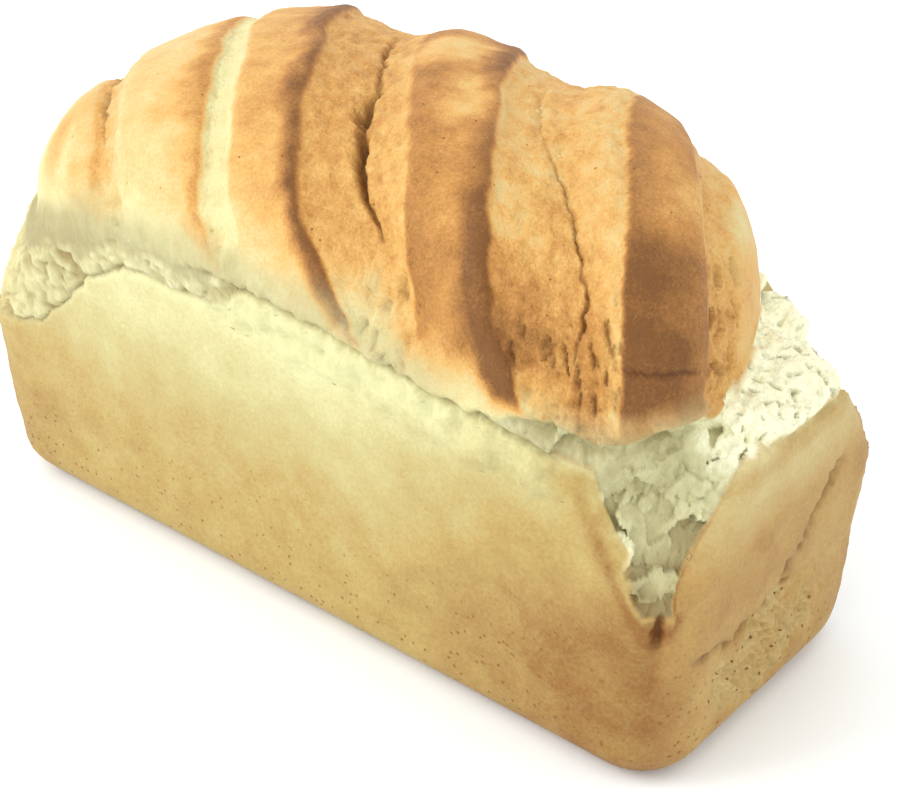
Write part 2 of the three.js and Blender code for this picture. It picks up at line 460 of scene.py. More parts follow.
def describe(points, sizes):
    """What the relief and the browning need to know about each point of the skin. Shares are 1
    where they hold: share and cover on the top crust, torn on torn crumb, on_top off the walls,
    crest at the top and front down the front, flaky and shelf on torn crumb at the right."""
    x, y, z = points.T
    skin = SimpleNamespace(points=points, x=x, y=y, z=z, sizes=sizes)
    skin.share = 1 - blend_share(tin_form(points, sizes), crust_form(points, sizes))
    skin.slow = rough(points, 24, 2)
    skin.mid = rough(points, 7, 2, shift=11.3)
    skin.fine = rough(points, 2.6, 2, shift=5.7)
    calmer = 1 - 0.6 * smoothstep(x, 70, 95)
    ragged = 1.5 * skin.slow + calmer * (1.9 * skin.mid + 0.9 * skin.fine)
    skin.broken_at = foot_height(x) + ragged - 2
    torn_foot = 8 * smoothstep(x, 70, 98) * falling(y, -30, 0)
    skin.foot = skin.broken_at + 2 + torn_foot * (1 + 0.25 * skin.slow)
    skin.corner = corner_place(points, sizes)
    ragged = 2.0 * skin.slow + 1.8 * skin.mid + 0.5 * skin.fine
    ragged *= np.where(x > 0, 0.15 + 0.85 * smoothstep(skin.corner.past, 3, 16), 1.0)
    skin.wall_top = wall_top(points, skin.corner) + ragged
    soft = 4 * smoothstep(-x, 20, 60)
    over_foot = smoothstep(z - skin.foot, -3.5 - soft, -0.5 + 0.5 * soft)
    skin.cover = smoothstep(skin.share, 0.3, 0.7) * over_foot
    skin.above_wall = smoothstep(z - skin.wall_top, -0.7, 0.7)
    skin.torn = skin.above_wall * (1 - skin.cover)
    skin.on_top = smoothstep(z, foot_height(x) - 4, foot_height(x) + 24)
    skin.across = x + SLASH_SLOPE * y - BACK_BEND * np.maximum(y - BEND_FROM, 0)
    skin.along = y - ALONG_TILT * x + ALONG_TILT * z
    skin.crest = smoothstep(y, -45, 5)
    skin.front = smoothstep(-y, 0, 20)
    skin.wobble = 1.6 * skin.slow + 0.9 * skin.mid
    skin.flaky = smoothstep(x, -20, 20)
    at_back = smoothstep(y, 10, 30)
    skin.shelf = smoothstep(x + 24 * at_back, 96, 112) * smoothstep(z + 20 * at_back, 80, 98)
    skin.shelf *= smoothstep(y, -34, -20)
    return skin


# ---- Relief ----
def slash_relief(skin):
    """Lobes stand, the strips between them sink to a valley: the shape shared with the solid."""
    relief = np.zeros_like(skin.x)
    for cut in SLASHES:
        place = skin.across - line_place(skin, cut.valley)
        left_run = cut.valley.at - cut.lip.at + 12
        right_run = cut.edge.at - cut.valley.at + 2
        valley = np.where(
            place < 0,
            falling(-place, 0, left_run),
            falling(place, 0, right_run),
        )
        lip = skin.across - line_place(skin, cut.lip)
        shallower = 1 - CREST_SHALLOWER * skin.crest
        relief += LIP_RISE * bump(lip, -3, LIP_WIDTH) - cut.depth * valley * shallower
    return relief * skin.on_top


def lip_relief(skin):
    """Each lobe ends at a thin raised lip, with the newer crust a step lower beside it."""
    relief = np.zeros_like(skin.x)
    for cut in SLASHES:
        d = from_line(skin, cut.lip)
        ridge = 0.6 * bump(d, -1.6, 2.0)
        step = smoothstep(d, -0.4, 1.0) * np.exp(-np.maximum(d, 0) / 5)
        far = from_line(skin, cut.edge)
        rise = 0.5 * smoothstep(far, -1.2, 1.2) * np.exp(-np.maximum(far, 0) / 6)
        relief += cut.step * (ridge - step + rise)
    return relief * skin.cover


def fissure_presence(skin, cut):
    """Where along a slash its crack gapes: mostly over the shoulder of the loaf."""
    ragged = 0.75 + 0.6 * rough(skin.points, 15, 2, shift=cut.lip.at)
    reach = plateau(skin.y, (-57, -46), (12, 30))
    narrowing = 1 - 0.6 * smoothstep(skin.y, -28, -12)
    return np.clip(ragged, 0.3, 1) * reach * narrowing * skin.cover


def fissure_gap(skin, cut, presence):
    """Distance from a crack's line, and 1 in its open gap, whose right side is the steeper."""
    d = from_line(skin, cut.fissure) + 0.7 * skin.fine + 0.5 * skin.mid
    width = cut.gape.width * (0.25 + 0.75 * presence)
    width = np.where(d < 0, 1.25 * width, 0.85 * width)
    return d, np.exp(-((d / width) ** 4))


def fissure_relief(skin):
    relief = np.zeros_like(skin.x)
    for cut in SLASHES:
        presence = fissure_presence(skin, cut)
        d, gap = fissure_gap(skin, cut, presence)
        relief -= cut.gape.depth * presence * gap
        relief += 0.14 * cut.gape.depth * presence * bump(d, 2.4 + cut.gape.width, 2.0)
    return relief


def strip_share(skin):
    """1 on the newer crust between a lobe's lip and the next lobe, 0 on the lobes."""
    share = np.zeros_like(skin.x)
    for cut in SLASHES:
        start = from_line(skin, cut.lip)
        end = from_line(skin, cut.edge)
        share = np.maximum(share, smoothstep(start, 0, 1.5) * falling(end, -2, 1))
    return share * skin.cover


def fibre_relief(skin):
    """Stretched, fibrous newer crust: short tears along the slash."""
    stretched = np.column_stack((skin.across / 3.4, skin.along / 11, skin.z / 11))
    fibres = rough(stretched, 1.0, 3, shift=2.2)
    dents = np.minimum(rough(skin.points, 4.2, 2, shift=8.8) + 0.1, 0)
    lower = 1 + 0.9 * falling(skin.z, 118, 140)
    rough_crust = strip_share(skin) * lower * (0.7 * fibres + 1.3 * dents)
    return rough_crust - 1.6 * tear_share(skin)


def tear_share(skin):
    """1 in the short dark tears low on the strips at the right."""
    drawn_out = np.column_stack((skin.across / 2.2, skin.along / 12, skin.z / 12))
    where = smoothstep(skin.x, 20, 60) * plateau(skin.z, (108, 116), (130, 146))
    return strip_share(skin) * where * smoothstep(rough(drawn_out, 1.0, 3, shift=14.2), 0.34, 0.5)


def break_share(skin):
    """1 along the front and back where the top crust broke cleanly from the wall."""
    return smoothstep(np.abs(skin.y), 38, 50) * plateau(skin.x, (-30, -5), (94, 104))


def break_line(skin):
    """Distance above the ragged line where the top crust broke from the long walls."""
    return skin.z - skin.broken_at


def break_relief(skin):
    d = break_line(skin)
    groove = 3.4 * bump(d, 0, 1.1)
    shoulder = 1.6 * plateau(d, (-12, -1), (-0.5, 0.5))
    lip = 1.0 * bump(d, 3.2, 2.2)
    return break_share(skin) * (lip - groove - shoulder)


def flap_relief(skin):
    """Over the torn right corner the top crust ends in a thin flap with a gap under it."""
    d = skin.z - skin.foot
    right = smoothstep(skin.x, 80, 96)
    return right * (1.3 * bump(d, 1.2, 2.2) - 2.2 * bump(d, -3.4, 1.6))


def plates(points, size, shift=0.0):
    """Torn layers: irregular plates, each tilted its own way, with crisp edges between them."""
    noise.seed_set(PLATE_SEED)  # noise_vector would start from the clock
    warp = np.column_stack([rough(points, 0.6 * size, 2, shift=s) for s in (1.7, 4.1, 9.3)])
    heights = []
    for place in ((points + 0.22 * size * warp) / size + shift).tolist():
        seed = noise.voronoi(place)[1][0]
        tilt = noise.noise_vector(seed * 5.3)
        heights.append(noise.noise(seed * 3.7) + tilt.dot(Vector(place) - seed))
    return np.array(heights)


def lump_share(skin):
    """On the torn left band: 1 on the puffy lumps above the wall, 0 on the smooth zone above."""
    upper = skin.wall_top + 7 + 4 * smoothstep(-skin.x, 30, 110)
    upper = np.maximum(upper, skin.foot - 10) + 2.0 * skin.mid
    return falling(skin.z - upper, -1.5, 2.5)


def pits(points):
    """1 in the few open pits of the puffy crumb on the left."""
    deepest = from_centre(points, DEEPEST_PIT) + 0.3 * rough(points, 3, 2)
    here = falling(deepest, 0.5, 1.1)
    return np.maximum(here, smoothstep(rough(points, 4.5, 2, shift=31.0), 0.52, 0.8))


def pushed_about(points):
    """The points shifted unevenly, so that lumps placed by them aren't round."""
    shifts = [rough(points, 6, 2, shift=s) for s in (2.9, 7.3, 13.7)]
    return points + 2.6 * np.column_stack(shifts)


def threads(points):
    """Noise drawn out into threads that run down the torn shelf."""
    x, y, z = points.T
    return rough(np.column_stack((x / 2.4, (y - z) / 1.7, (y + z) / 9)), 1.0, 2, shift=6.6)


def gaps(points):
    """1 in the small dark gaps between the threads."""
    return smoothstep(-threads(points), 0.42, 0.62)


def torn_relief(skin):
    """Torn crumb between wall and top crust: puffy on the left, flaky and shredded right."""
    torn = skin.torn > 0.01
    relief = np.zeros_like(skin.x)
    points = skin.points[torn]
    x, y, z = points.T
    pushed = pushed_about(points)
    puffy = 2.0 * puffs(pushed, PUFF) + 1.2 * puffs(pushed, SMALL_PUFF, shift=3.3)
    puffy -= 1.8 * pits(points)
    lumpy = lump_share(skin)[torn]
    lumps = (puffy - 1.9) * (0.1 + 0.9 * lumpy) - 0.3
    lumps += 0.7 * skin.slow[torn] - 1.8 * smoothstep(-x, 95, 125)
    large_plates = plates(points, PLATE)
    shreds = 0.9 * threads(points) - 1.2 * gaps(points) + 0.9 * large_plates
    layers = 2.2 * large_plates + 1.0 * plates(points, SMALL_PLATE, shift=7.7) - 0.6
    shelf = skin.shelf[torn]
    flaky = skin.flaky[torn]
    texture = (1 - flaky) * lumps + flaky * ((1 - shelf) * layers + shelf * shreds - 0.6)
    off_flake = from_centre(points, BACK_FLAKE) + 0.3 * skin.mid[torn]
    texture += BACK_FLAKE.height * falling(off_flake, 0.4, 1.0)
    relief[torn] = skin.torn[torn] * (texture + 0.35 * skin.fine[torn])
    return relief


def wall_edge_relief(skin):
    """The baked wall ends in a thin lifted edge."""
    d = skin.z - skin.wall_top
    edge = bump(d, -1.2, 1.2) * (1 - skin.cover) * smoothstep(skin.x, 60, 90)
    return (0.35 * edge - 1.5 * crease_share(skin)) * smoothstep(skin.z, 30, 45)


def slot_share(skin):
    """1 in the dark slot where the tear at the front right corner runs out."""
    height = plateau(skin.z, (48, 54), (61, 63))
    here = bump(skin.corner.off_ridge + skin.fine, 1.6, 1.5) * height
    return here * (skin.x > 0) * (skin.y < 0)


def fold_share(skin):
    """1 on the faint fold below that slot."""
    height = plateau(skin.z, (24, 44), (52, 58))
    return bump(skin.corner.off_ridge, 1.6, 2.6) * height * (skin.x > 0) * (skin.y < 0)


def crease_share(skin):
    """1 in the crease between the left walls and the puffy crumb that hangs over them."""
    d = skin.z - skin.wall_top
    return bump(d, 0.2, 0.7) * (1 - skin.cover) * smoothstep(-skin.x, -10, 20)


def wall_relief(skin):
    """Soft dimples and folds left where the dough met the tin."""
    wall = (1 - skin.above_wall) * (1 - skin.cover) * smoothstep(skin.z, 2, 14)
    under_break = 1.4 * break_share(skin) * bump(break_line(skin), -9, 9)
    dimples = 0.35 * skin.mid + 0.2 * skin.fine + 0.5 * skin.slow
    crease = 1.0 * fold_share(skin) + 3.0 * slot_share(skin)
    return wall * (dimples - crease + under_break * (1.6 * skin.mid + 0.7 * skin.fine + 0.5))


def lobe_relief(skin):
    """Small unevenness of the lobes' skin."""
    return skin.cover * (0.22 * skin.mid + 0.08 * skin.fine)


def stroke(side, start, end, width, waver, height):
    """A fold or slit drawn on a wall from start to end, each (along the wall, height)."""
    return SimpleNamespace(
        side=side, start=start, end=end, width=width, waver=waver, height=height
    )


STROKES = (
    stroke("front", (50, 108), (58, 92), 1.6, 1.5, 0.8),
    stroke("front", (58, 92), (62, 82), 1.3, 1.5, 0.7),
    stroke("front", (53, 104), (56, 90), 1.2, 1.5, -0.7),
    stroke("front", (70, 102), (95, 94), 1.6, 1.5, -0.6),
    stroke("end", (-42, 44), (-20, 41), 0.9, 2.6, -1.4),
    stroke("end", (-22, 41), (6, 46), 1.3, 3.2, -2.4),
    stroke("end", (0, 48), (14, 60), 1.1, 2.0, -1.4),
    stroke("end", (12, 58), (26, 74), 1.3, 1.4, -2.6),
    stroke("end", (-47, 125), (-28, 121), 0.6, 1.2, -0.8),
)


def stroke_share(skin, drawn):
    """1 along the wavering stroke, fading to its sides and ends."""
    front = drawn.side == "front"
    along = skin.x if front else skin.y
    facing = -skin.y if front else skin.x
    here = np.column_stack((along, skin.z)) - drawn.start
    span = np.subtract(drawn.end, drawn.start)
    length = np.hypot(*span)
    t = here @ span / length
    off = here @ np.array((-span[1], span[0])) / length
    off = off + drawn.waver * skin.mid + 0.4 * skin.fine
    ends = plateau(t, (-3, 4), (length - 4, length + 3))
    return bump(off, 0, drawn.width) * ends * (facing > (45 if front else 108))


def stroke_relief(skin):
    return sum(drawn.height * stroke_share(skin, drawn) for drawn in STROKES)


def crumbly_share(skin):
    """1 on the rubbed, pitted patch low on the right end wall."""
    d = np.hypot((skin.y + 2) / 26, (skin.z - 26) / 19) + 0.25 * skin.slow + 0.2 * skin.mid
    return falling(d, 0.75, 1.05) * (skin.x > 118)


def upper_skin(skin):
    """The top crust and everything torn below it."""
    low = (slot_share(skin) > 0.02) | (crumbly_share(skin) > 0.1)
    return (skin.z > skin.wall_top - 3) | (skin.share > 0.2) & (skin.z > 90) | low


def broken_skin(skin):
    """Cracks, lips and tears, which call for the smallest cells."""
    need = (skin.torn > 0.05) & (skin.y < 20) & (skin.z < skin.foot + 3)
    need |= (np.abs(break_line(skin)) < 1.5) & (break_share(skin) > 0.1)
    need |= (np.abs(skin.z - skin.wall_top) < 0.8) & (skin.cover < 0.5)
    need |= (slot_share(skin) > 0.02) | (crumbly_share(skin) > 0.2)
    for cut in SLASHES:
        lip = np.abs(from_line(skin, cut.lip)) < 0.9
        near = np.abs(from_line(skin, cut.fissure)) < 0.6 + cut.gape.width
        need |= (lip | near & (fissure_presence(skin, cut) > 0.1)) & (skin.cover > 0.3)
    return need & (skin.z > 20)


# ---- Browning ----
def tones(left, middle, right):
    """How brown a band is at its left, middle and right: 0 hardly baked, 1 darkest."""
    return SimpleNamespace(left=left, middle=middle, right=right)


def band(crest, front, fade):
    """Tones over the crest and low on the front; fade is how far up the foot stays pale."""
    return SimpleNamespace(crest=crest, front=front, fade=fade)


def patch(centre, radius, tone):
    """A soft patch of the crust that is browner, or paler where tone is negative."""
    return SimpleNamespace(centre=centre, radius=radius, tone=tone)


PATCHES = (
    patch((-90, -48, 126), (8, 18, 20), 0.3),
    patch((-47, -38, 152), (8, 20, 12), 0.12),
    patch((26, -60, 131), (8, 8, 14), 0.3),
    patch((4, 16, 161), (14, 16, 10), -0.34),
    patch((64, -42, 149), (8, 10, 12), 0.24),
    patch((72, -52, 138), (9, 10, 18), 0.4),
    patch((106, -28, 143), (12, 14, 16), 0.25),
    patch((114, -40, 124), (12, 14, 14), 0.3),
    patch((74, -60, 120), (16, 12, 9), 0.22),
    patch((38, 0, 160), (16, 24, 9), -0.3),
    patch((100, 8, 142), (14, 26, 16), -0.24),
)

# Bands from left to right: a lobe, then the strip of newer crust beside it, and so on.
BANDS = (
    band(tones(0.40, 0.24, 0.30), tones(0.36, 0.12, 0.30), 24),
    band(tones(0.44, 0.32, 0.24), tones(0.50, 0.26, 0.14), 18),
    band(tones(0.24, 0.27, 0.58), tones(0.20, 0.24, 0.50), 30),
    band(tones(0.06, 0.02, 0.02), tones(0.16, 0.02, 0.02), 14),
    band(tones(0.42, 0.50, 0.92), tones(0.30, 0.42, 1.06), 28),
    band(tones(0.50, 0.48, 0.42), tones(0.56, 0.44, 0.34), 32),
    band(tones(0.72, 0.62, 0.90), tones(0.84, 0.70, 1.2), 26),
    band(tones(0.34, 0.42, 0.32), tones(0.92, 0.60, 0.30), 22),
    band(tones(0.76, 0.60, 0.66), tones(1.02, 0.86, 0.80), 8),
    band(tones(0.50, 0.36, 0.32), tones(0.60, 0.46, 0.40), 8),
    band(tones(0.32, 0.34, 0.34), tones(0.40, 0.38, 0.34), 6),
)
CREST_TONES_AT = (0, 0.45, 0.62, 0.92)
FRONT_TONES_AT = (0, 0.45, 0.76, 0.97)
FAR_LEFT = line(-175)
FAR_RIGHT = line(170)


def crust_tone(skin):
    lines = [FAR_LEFT]
    for cut in SLASHES:
        lines += (cut.lip, cut.edge)
    lines.append(FAR_RIGHT)
    low = falling(skin.z, 126, 156)
    tone = np.zeros_like(skin.x)
    fade = np.zeros_like(skin.x)
    for shades, start, end in zip(BANDS, lines, lines[1:]):
        from_start = from_line(skin, start)
        to_end = -from_line(skin, end)
        t = np.clip(from_start / np.maximum(from_start + to_end, 1), 0, 1)
        t = t + (0.1 * skin.slow + 0.06 * skin.mid) * (0 < t) * (t < 1)
        crest, front = (
            np.interp(t, at, (shade.left, shade.middle, shade.middle, shade.right))
            for shade, at in ((shades.crest, CREST_TONES_AT), (shades.front, FRONT_TONES_AT))
        )
        here = smoothstep(from_start, -0.8, 0.8) * smoothstep(to_end, -0.8, 0.8)
        tone += here * (crest + (front - crest) * low)
        fade += here * shades.fade * (1 - 0.8 * smoothstep(t, 0.6, 0.85))
    lobes = 1 - strip_share(skin)
    for spot in PATCHES:
        off = from_centre(skin.points, spot) + 0.3 * skin.slow + 0.2 * skin.mid
        tone += spot.tone * lobes * falling(off, 0.2, 1.2)
    baked = smoothstep(skin.z - skin.foot, -2, np.maximum(fade, 3))
    # Tone at the crust's foot: pale cream, but a mid tone at the right end as painted shade under
    # the torn flap.
    foot_tone = 0.05 + 0.5 * smoothstep(skin.x, 84, 104)
    return np.clip(foot_tone + (tone - foot_tone) * baked + 0.05 * skin.mid, 0, 1)


def recess_shade(skin):
    """Painted shade in the recesses: 1 deep in the fissures and in the slits of the walls, less in
    the short tears, the slot at the front right corner, the crease under the crumb and along the
    break line.
    """
    dark = np.zeros_like(skin.x)
    for cut in SLASHES:
        presence = fissure_presence(skin, cut)
        _, gap = fissure_gap(skin, cut, presence)
        dark = np.maximum(dark, min(cut.gape.depth / 3, 1) * np.sqrt(presence) * gap)
    for drawn in STROKES:
        if drawn.height < -0.75:
            dark = np.maximum(dark, 0.85 * stroke_share(skin, drawn))
    dark = np.maximum(dark, 0.5 * tear_share(skin))
    dark = np.maximum(dark, 0.75 * slot_share(skin))
    dark = np.maximum(dark, 0.4 * crease_share(skin) * (skin.x > skin.sizes.length / -2 + 12))
    return np.maximum(dark, 0.5 * break_share(skin) * bump(break_line(skin), 0, 0.9))


def wall_tone(skin):
    half = skin.sizes.length / 2
    rising = 0.57 * falling(skin.z, 30, 120)
    ends = 0.3 * smoothstep(skin.x, 30, 105) + 0.1 * smoothstep(-skin.x, 70, 125)
    low_edge = 0.35 * falling(skin.z, 0, 5)
    right_edge = 0.4 * smoothstep(skin.x, 96, 118) * falling(skin.z, 25, 70)
    under_break = 0.14 * break_share(skin) * smoothstep(break_line(skin), -26, -6)
    front = np.minimum(rising + ends + right_edge + 0.03 - under_break, 0.95)
    corner = smoothstep(np.abs(skin.y), 30, 50) * falling(skin.z, 25, 60)
    end = 0.66 + 0.22 * corner - 0.42 * smoothstep(skin.z, 66, 94) - 0.2 * crumbly_share(skin)
    on_end = smoothstep(np.abs(skin.x), half - 13, half - 6)
    rim = bump(skin.z - skin.wall_top, -5, 4) * smoothstep(skin.x, 90, 105)
    pale_edge = 0.22 * bump(skin.z - skin.wall_top, 0.5, 2.5)
    golden_back = 0.3 * smoothstep(skin.x, 70, 95) * smoothstep(skin.y, 30, 50)
    tone = front + (end - front) * on_end + low_edge + 0.25 * rim - pale_edge
    # The fold below the slot is darker: painted shade in its crease.
    tone += 0.12 * fold_share(skin) + golden_back * smoothstep(skin.z, 60, 85)
    return np.clip(tone + 0.08 * skin.slow + 0.05 * skin.mid, 0, 1), on_end


def crumb_tone(skin):
    """How light the torn crumb is: 0 in pits, 1 on the whitest shreds. Besides the crumb's own
    tones it holds painted light: painted highlight on the tops of the lumps and the raised plates,
    and painted shade in the creases between lumps, in the pits and in the gaps between the threads.
    """
    lumps = lump_share(skin)
    pushed = pushed_about(skin.points)
    # Lighter on the lumps' tops and darker in the creases between them: painted highlight and
    # painted shade.
    lumpy = 0.4 * puffs(pushed, PUFF) + 0.3 * puffs(pushed, SMALL_PUFF, 3.3) - 0.3
    lumpy = 0.42 + lumps * lumpy
    # Pits darker as painted shade; the crumb at the left end is browner.
    lumpy -= 0.6 * lumps * pits(skin.points) + 0.14 * smoothstep(-skin.x, 42, 80)
    # Raised plates lighter as painted highlight; the shreds of the shelf whitest.
    flaky = 0.5 + 0.3 * plates(skin.points, PLATE) + 0.05 * skin.mid + 0.6 * skin.shelf
    # Darker below about 80 mm on the torn right side; the gaps between the threads darker as
    # painted shade.
    flaky -= 0.5 * falling(skin.z, 60, 82) + 0.6 * skin.shelf * gaps(skin.points)
    # Darker where the crust covers it: painted shade at the lobes' foot.
    flaky -= 0.12 * skin.cover
    return np.clip(lumpy + (flaky - lumpy) * skin.flaky, 0, 1)


def unbaked_and_shaded_foot_share(skin):
    """The greyish foot of the lobes: partly unbaked dough, partly painted shade under the lobes'
    overhang; on the left, and weaker at the right end of the front.
    """
    height = skin.z - skin.foot
    reach = 9 + 6 * smoothstep(skin.x, -90, -50) + 3 * smoothstep(skin.x, 10, 50) + 4 * skin.slow
    left = 0.85 * falling(height, 0, reach) * (1 - 0.3 * smoothstep(skin.x, -5, 30))
    left *= falling(skin.x, 50, 84)
    right = 0.75 * falling(height, -4, 8) * smoothstep(skin.x, 84, 104)
    return (left + right * falling(skin.y, -35, -20)) * skin.cover


def store(mesh, name, values):
    attribute = mesh.attributes.new(name=name, type="FLOAT", domain="POINT")
    attribute.data.foreach_set("value", values.astype(np.float32))


def store_vectors(mesh, name, vectors):
    attribute = mesh.attributes.new(name=name, type="FLOAT_VECTOR", domain="POINT")
    attribute.data.foreach_set("vector", vectors.astype(np.float32).ravel())


# ---- Mesh building ----
def divide_along(bm, axis, parts):
    """Cuts every edge that runs along one axis into equal parts."""
    edges = [e for e in bm.edges if abs((e.verts[0].co - e.verts[1].co)[axis]) > 1e-6]
    bmesh.ops.subdivide_edges(bm, edges=edges, cuts=parts - 1, use_grid_fill=True)


def vertex_array(bm):
    return np.array([v.co[:] for v in bm.verts], float)


def refine(bm, sizes, wanted):
    """Divides once more the faces where the skin is as wanted."""
    points, _ = place_on_loaf(vertex_array(bm), sizes)
    need = wanted(describe(points, sizes))
    bm.verts.index_update()
    busy = [face for face in bm.faces if any(need[v.index] for v in face.verts)]
    edges = list({edge for face in busy for edge in face.edges})
    bmesh.ops.subdivide_edges(bm, edges=edges, cuts=1, use_grid_fill=True)


def flatten_base(bm):
    """Joins the flat faces under the loaf into one."""
    flat = [face for face in bm.faces if all(v.co.z < 1e-7 for v in face.verts)]
    bmesh.ops.dissolve_faces(bm, faces=flat, use_verts=False)


def make_cube_grid(sizes):
    bm = bmesh.new()
    bmesh.ops.create_cube(bm, size=2.0)
    for axis, parts in enumerate(CELLS):
        divide_along(bm, axis, parts)
    refine(bm, sizes, upper_skin)
    refine(bm, sizes, broken_skin)
    return bm


def shape_loaf(bm, sizes):
    """Moves the cube's vertices onto the slashed loaf. Returns what browning needs."""
    points, rays = place_on_loaf(vertex_array(bm), sizes)
    skin = describe(points, sizes)
    for vert, point in zip(bm.verts, points):
        vert.co = point
    bm.normal_update()
    normals = np.array([v.normal[:] for v in bm.verts])
    soft = slash_relief(skin) + unevenness(points) * smoothstep(skin.z, 0, 2 * BASE_RADIUS)
    sharp = (
        lip_relief(skin)
        + fissure_relief(skin)
        + fibre_relief(skin)
        + break_relief(skin)
        + flap_relief(skin)
        + torn_relief(skin)
        + wall_edge_relief(skin)
        + wall_relief(skin)
        + lobe_relief(skin)
        + stroke_relief(skin)
        + crumbly_share(skin) * (2.4 * skin.fine + 1.0 * skin.mid - 0.9)
    )
    shaped = points + rays * soft[:, None] + normals * sharp[:, None]
    shaped[points[:, 2] < 0.02, 2] = 0
    shaped[:, 2] = np.maximum(shaped[:, 2], 0)
    for vert, point in zip(bm.verts, shaped * MM):
        vert.co = point
    return skin


def brown_loaf(mesh, skin):
    """Stores on each vertex how brown it is and what kind of surface it belongs to."""
    tone, on_end = wall_tone(skin)
    store(mesh, "top_tone", crust_tone(skin))
    store(mesh, "wall_tone", tone)
    store(mesh, "crumb_tone", crumb_tone(skin))
    store(mesh, "end_wall", on_end)
    store(mesh, "wall", (1 - skin.cover) * (1 - skin.torn))
    crusty = (0.3 + 0.35 * smoothstep(-skin.x, 95, 125)) * lump_share(skin) * (1 - skin.flaky)
    # The torn share plus the painted shade at the lobes' foot, which takes the crumb colour.
    store(mesh, "torn", np.clip(skin.torn * (1 - crusty) + unbaked_and_shaded_foot_share(skin), 0, 1))
    # How dark the painted shade in cracks, slits, creases and the break line is.
    store(mesh, "crack_shade", np.clip(recess_shade(skin), 0, 1))
    store(mesh, "strip", strip_share(skin))
    pitted = crumbly_share(skin) + 0.4 * falling(skin.z, 10, 70)
    store(mesh, "pitted", np.clip(pitted, 0, 1))
    places = np.column_stack((skin.across, skin.along / 2, skin.z / 2))
    store_vectors(mesh, "along_slash", places * MM)


# ---- Materials ----
def add_node(tree, kind, inputs=(), **settings):
    """Adds a node, sets its own settings, then its sockets: a value or another node's output."""
    node = tree.nodes.new(kind)
    for key, value in settings.items():
        setattr(node, key, value)
    for key, value in dict(inputs).items():
        if isinstance(value, bpy.types.NodeSocket):
            tree.links.new(value, node.inputs[key])
        else:
            node.inputs[key].default_value = value
    return node


def math_node(tree, operation, a, b=0.0, clamp=False):
    node = add_node(tree, "ShaderNodeMath", {0: a, 1: b}, operation=operation, use_clamp=clamp)
    return node.outputs[0]


def mix_colours(tree, factor, a, b):
    node = add_node(tree, "ShaderNodeMix", {0: factor, 6: a, 7: b}, data_type="RGBA")
    return node.outputs[2]


def attribute(tree, name, output="Fac"):
    return add_node(tree, "ShaderNodeAttribute", attribute_name=name).outputs[output]


def noise_value(tree, coordinates, size, detail=3.0, roughness=0.5):
    """Noise from 0 to 1 whose lumps measure about size mm."""
    scale = 1 / (size * MM)
    inputs = {"Vector": coordinates, "Scale": scale, "Detail": detail, "Roughness": roughness}
    return add_node(tree, "ShaderNodeTexNoise", inputs).outputs["Fac"]


def spots(tree, coordinates, size, radius):
    """1 in small round spots scattered about size mm apart, whose radius is a share of size."""
    inputs = {"Vector": coordinates, "Scale": 1 / (size * MM)}
    distance = add_node(tree, "ShaderNodeTexVoronoi", inputs).outputs["Distance"]
    return step_between(tree, distance, radius, radius * 0.5)


def step_between(tree, value, start, end):
    """0 where the value is at start, 1 where it is at end."""
    inputs = {"Value": value, "From Min": start, "From Max": end}
    node = add_node(tree, "ShaderNodeMapRange", inputs, interpolation_type="SMOOTHSTEP")
    return node.outputs["Result"]


def crackle(tree, coordinates, size):
    """1 along a net of fine lines about size mm apart, broken here and there."""
    push = add_node(tree, "ShaderNodeTexNoise", {"Vector": coordinates, "Scale": 1 / (5 * MM)})
    shift = add_node(tree, "ShaderNodeVectorMath", {0: push.outputs["Color"], 1: (0.002,) * 3},
                     operation="MULTIPLY")
    bent = add_node(tree, "ShaderNodeVectorMath", {0: coordinates, 1: shift.outputs[0]})
    inputs = {"Vector": bent.outputs[0], "Scale": 1 / (size * MM)}
    cells = add_node(tree, "ShaderNodeTexVoronoi", inputs, feature="DISTANCE_TO_EDGE")
    lines = step_between(tree, cells.outputs["Distance"], 0.05, 0.0)
    broken = step_between(tree, noise_value(tree, coordinates, 5, 2), 0.4, 0.6)
    return math_node(tree, "MULTIPLY", lines, broken)


def colour_ramp(tree, factor, stops):
    node = add_node(tree, "ShaderNodeValToRGB", {"Fac": factor})
    elements = node.color_ramp.elements
    while len(elements) < len(stops):
        elements.new(0.5)
    for element, (position, colour) in zip(elements, stops):
        element.position = position
        element.color = (*colour, 1)
    return node.outputs["Color"]


def uneven(tree, coordinates, size, amount, detail=3.0, roughness=0.5):
    """Noise that pushes either way by up to half the amount, with lumps of about size mm."""
    value = noise_value(tree, coordinates, size, detail, roughness)
    return math_node(tree, "MULTIPLY", math_node(tree, "SUBTRACT", value, 0.5), amount)


def added(tree, *values):
    total = values[0]
    for value in values[1:]:
        total = math_node(tree, "ADD", total, value)
    return total


def multiplied(tree, *values):
    total = values[0]
    for value in values[1:]:
        total = math_node(tree, "MULTIPLY", total, value)
    return total


def top_colour(tree, places, colours, fine_lines):
    mottle = uneven(tree, places.object, 10, 0.5, 6, 0.68)
    grain = uneven(tree, places.object, 0.9, 0.45, 3, 0.7)
    streaks = uneven(tree, places.fibres, 4.0, 0.5, 4, 0.65)
    streaks = multiplied(tree, streaks, attribute(tree, "strip"))
    pale_lines = multiplied(tree, fine_lines, -0.16)
    pores = multiplied(tree, spots(tree, places.object, 7.0, 0.07), 0.35)
    tone = added(tree, attribute(tree, "top_tone"), mottle, grain, streaks, pale_lines, pores)
    return colour_ramp(tree, tone, (
        (0.0, colours.cream), (0.2, colours.straw), (0.4, colours.gold),
        (0.6, colours.amber), (0.8, colours.chestnut), (1.0, colours.umber),
    ))


